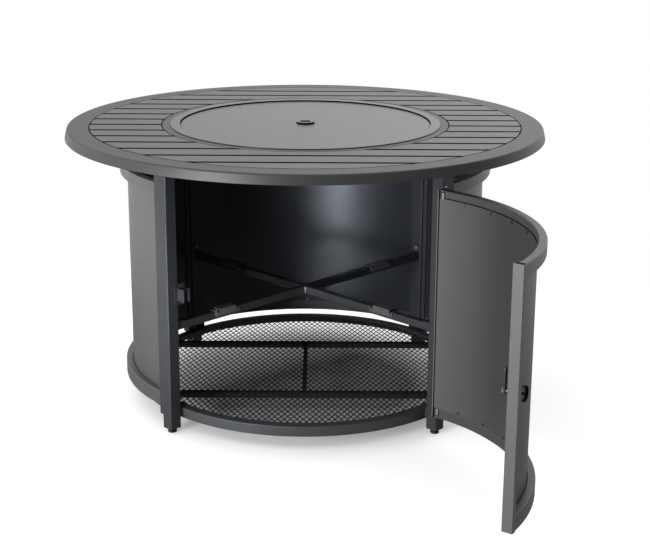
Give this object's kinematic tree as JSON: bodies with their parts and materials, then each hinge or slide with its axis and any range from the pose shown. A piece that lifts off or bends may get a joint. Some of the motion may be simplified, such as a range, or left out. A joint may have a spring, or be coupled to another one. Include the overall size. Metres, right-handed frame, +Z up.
{
  "type": "fire pit table",
  "caption": "Round slatted fire pit table on a curved metal cabinet with a hinged door, mesh floor, lift-off burner lid and levelling feet",
  "frame": {"origin": "on the floor under the table's centre", "axes": "+Z up; the door's bay faces -Y; +X to the right seen from the front"},
  "size_m": [1.219, 1.6175, 0.7203],
  "materials": {
    "powder_coat": "satin charcoal powder coat",
    "slat_coat": "fine-textured grey powder coat",
    "inner_coat": "satin dark powder coat inside the cabinet",
    "mesh_coat": "satin dark coat on expanded metal",
    "bright_steel": "stainless steel",
    "zinc": "zinc-plated steel",
    "brass_fitting": "machined brass",
    "black_plastic": "matt black moulding"
  },
  "bodies": {
    "table": {"tabletop_rim": "powder_coat", "top_slats": "slat_coat", "opening_trim_ring": "powder_coat", "top_support_ring": "powder_coat", "top_bearers": "powder_coat", "post_left_front": "powder_coat", "post_right_front": "powder_coat", "post_right_back": "powder_coat", "post_left_back": "powder_coat", "post_inserts": "zinc", "floor_ring": "powder_coat", "floor_crossbars": "powder_coat", "floor_mesh": "mesh_coat", "brace_long_arm": "powder_coat", "brace_half_arms": "powder_coat", "brace_end_brackets": "powder_coat", "brace_bolts": "zinc", "saddle_clips": "powder_coat", "top_rail_left": "powder_coat", "bottom_rail_left": "powder_coat", "panel_sheet_left": "inner_coat", "top_rail_back": "powder_coat", "bottom_rail_back": "powder_coat", "panel_sheet_back": "inner_coat", "top_rail_right": "powder_coat", "bottom_rail_right": "powder_coat", "panel_sheet_right": "inner_coat", "jamb_bars": "powder_coat", "panel_screws": "zinc", "hinge_post_leaf": "powder_coat", "hinge_pin": "zinc", "latch_keeper": "zinc", "burner_pan": "powder_coat", "ring_burner": "bright_steel", "pilot_electrode": "bright_steel", "control_plate": "powder_coat", "gas_valve": "brass_fitting", "gas_inlet_fitting": "brass_fitting", "igniter_body": "black_plastic"},
    "door": {"door_latch_stile": "powder_coat", "door_hinge_stile": "powder_coat", "door_top_rail": "powder_coat", "door_bottom_rail": "powder_coat", "door_sheet": "inner_coat", "door_screws": "zinc", "hinge_door_leaf": "powder_coat", "latch_housing": "black_plastic", "latch_housing_nut": "zinc"},
    "door_latch": {"latch_knob": "black_plastic", "latch_cam": "zinc", "latch_cam_nut": "zinc"},
    "lid": {"lid_plate": "slat_coat", "lid_finger_cup": "slat_coat", "lid_grip_bar": "slat_coat"},
    "control_knob": {"control_knob": "black_plastic"},
    "igniter_button": {"igniter_button": "black_plastic"},
    "foot_left_front": {"levelling_foot_left_front": "black_plastic"},
    "foot_right_front": {"levelling_foot_right_front": "black_plastic"},
    "foot_right_back": {"levelling_foot_right_back": "black_plastic"},
    "foot_left_back": {"levelling_foot_left_back": "black_plastic"}
  },
  "joints": [
    {"name": "door_hinge", "type": "hinge", "parent": "table", "child": "door", "pos_m": [0.33395, -0.35859, 0.35], "axis": [0, 0, 1], "range_deg": [-99.3, 30]},
    {"name": "latch_turn", "type": "hinge", "parent": "door", "child": "door_latch", "pos_m": [0.44201, -0.94069, 0.347], "axis": [0.9026, -0.4305, 0], "range_deg": [0, 90]},
    {"name": "lid_lift", "type": "slide", "parent": "table", "child": "lid", "axis": [0, 0, 1], "range_m": [0, 0.2]},
    {"name": "knob_turn", "type": "hinge", "parent": "table", "child": "control_knob", "pos_m": [-0.03, -0.454, 0.676], "axis": [0, -1, 0], "range_deg": [0, 180]},
    {"name": "button_push", "type": "slide", "parent": "table", "child": "igniter_button", "axis": [0, 1, 0], "range_m": [0, 0.004], "stiffness_N_per_m": 400},
    {"name": "foot_left_front_screw", "type": "slide", "parent": "table", "child": "foot_left_front", "axis": [0, 0, -1], "range_m": [0, 0.012]},
    {"name": "foot_right_front_screw", "type": "slide", "parent": "table", "child": "foot_right_front", "axis": [0, 0, -1], "range_m": [0, 0.012]},
    {"name": "foot_right_back_screw", "type": "slide", "parent": "table", "child": "foot_right_back", "axis": [0, 0, -1], "range_m": [0, 0.012]},
    {"name": "foot_left_back_screw", "type": "slide", "parent": "table", "child": "foot_left_back", "axis": [0, 0, -1], "range_m": [0, 0.012]}
  ]
}
